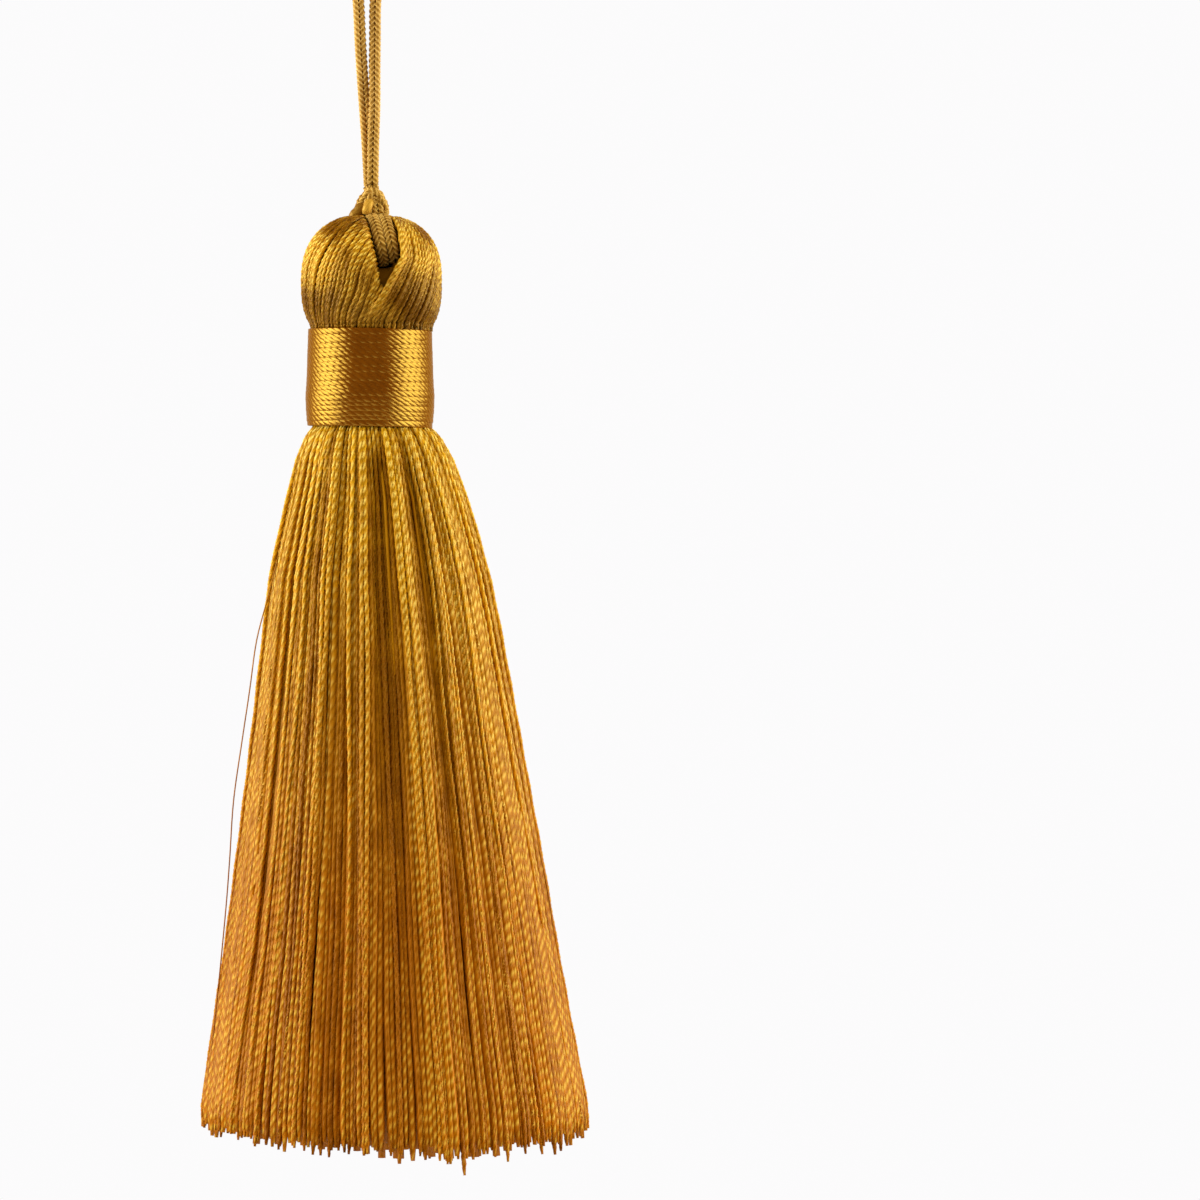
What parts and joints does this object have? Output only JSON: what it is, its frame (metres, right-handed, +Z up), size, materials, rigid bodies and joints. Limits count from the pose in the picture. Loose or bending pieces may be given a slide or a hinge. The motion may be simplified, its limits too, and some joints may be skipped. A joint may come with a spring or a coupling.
{
  "type": "silk tassel",
  "caption": "Gold silk yarn tassel: round folded head with slits, wound neck band, long flared skirt of twisted yarns, knotted braided cord and hanging loop.",
  "frame": {"origin": "where the inside of the hanging loop's top bend bears on the hook that holds it", "axes": "+Z up along the tassel, towards the hook, and +X to the right of the front view; -Y is the front, with the head's slit and the sling's cords"},
  "size_m": [0.0384, 0.0386, 0.1248],
  "materials": {
    "yarn_silk": "lustrous twisted yarn",
    "band_silk": "glossy wound thread",
    "cord_silk": "lustrous braided cord"
  },
  "bodies": {
    "root": {"hank": "yarn_silk", "neck_band": "band_silk", "knot": "cord_silk", "hanging_loop": "cord_silk"}
  },
  "joints": []
}
